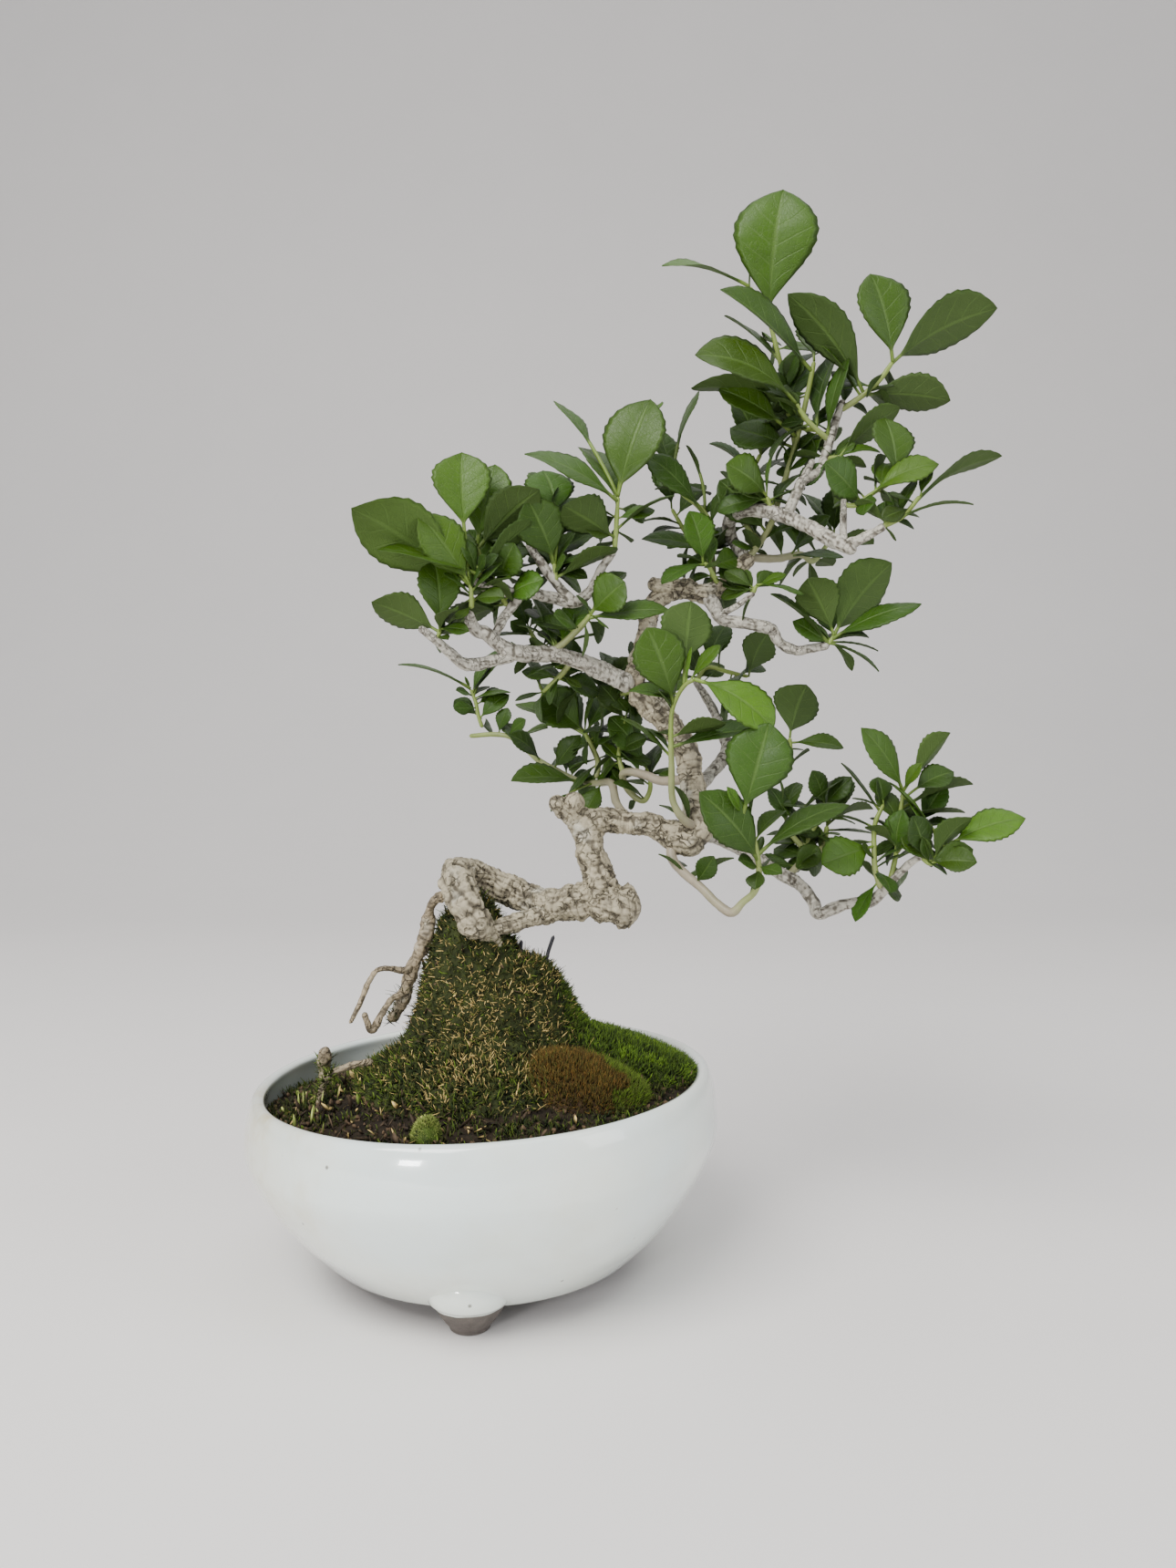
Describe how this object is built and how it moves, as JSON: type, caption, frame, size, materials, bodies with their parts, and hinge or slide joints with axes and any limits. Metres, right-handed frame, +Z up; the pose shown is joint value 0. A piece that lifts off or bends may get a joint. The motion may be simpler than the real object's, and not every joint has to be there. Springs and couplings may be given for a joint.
{
  "type": "potted bonsai tree",
  "caption": "Small broadleaf bonsai with a bent trunk, cascading and rising branches and mossy mound in a round incurved white bowl on feet.",
  "frame": {"origin": "centre of the bounding box's underside, on the table under the plant", "axes": "+Z up; -Y towards the viewer, with the trunk's base left of the crown; +X to the right"},
  "size_m": [0.2434, 0.1498, 0.3473],
  "materials": {
    "glaze": "glossy off-white glaze",
    "mesh": "matte black",
    "soil": "loose dark grains",
    "moss": "soft short moss, green with straw tips",
    "moss_brown": "soft rusty moss",
    "moss_green": "soft bright green moss",
    "moss_pale": "soft pale green moss",
    "bark": "rough knobbly bark",
    "twig": "pale thin bark",
    "root": "pale rough root skin",
    "wire": "dark oxidised wire",
    "leaf": "satin green leaf"
  },
  "bodies": {
    "root": {"branch_apex": "twig", "branch_back_right": "twig", "branch_cascade": "twig", "branch_left": "twig", "branch_left_upper": "twig", "branch_right": "twig", "branch_top": "twig", "dead_stub": "root", "drain_mesh": "mesh", "leader": "bark", "moss_ball_pale": "moss_pale", "moss_cushion_brown": "moss_brown", "moss_cushion_green": "moss_green", "moss_mound": "moss", "pot": "glaze", "root_hooked": "root", "root_reaching": "root", "root_rim": "root", "root_upper": "root", "shoot_apex": "leaf", "shoot_apex_side": "leaf", "shoot_back_left": "leaf", "shoot_back_left_tip": "leaf", "shoot_back_right": "leaf", "shoot_back_top": "leaf", "shoot_behind_trunk": "leaf", "shoot_cascade_high": "leaf", "shoot_cascade_inner": "leaf", "shoot_cascade_mid": "leaf", "shoot_cascade_tip": "leaf", "shoot_cascade_up": "leaf", "shoot_centre_high": "leaf", "shoot_front": "leaf", "shoot_front_right": "leaf", "shoot_inner_left": "leaf", "shoot_inner_mid": "leaf", "shoot_left_big": "leaf", "shoot_left_centre": "leaf", "shoot_left_crest": "leaf", "shoot_left_high": "leaf", "shoot_left_mid": "leaf", "shoot_left_tip": "leaf", "shoot_long": "leaf", "shoot_mid": "leaf", "shoot_mid_left": "leaf", "shoot_mid_right": "leaf", "shoot_right_high": "leaf", "shoot_right_mid": "leaf", "shoot_right_tip": "leaf", "shoot_small_top": "leaf", "shoot_top_left": "leaf", "shoot_top_right": "leaf", "shoot_under_back": "leaf", "shoot_under_left": "leaf", "soil": "soil", "trunk": "bark", "wire_stub_high": "wire", "wire_stub_low": "wire"}
  },
  "joints": []
}
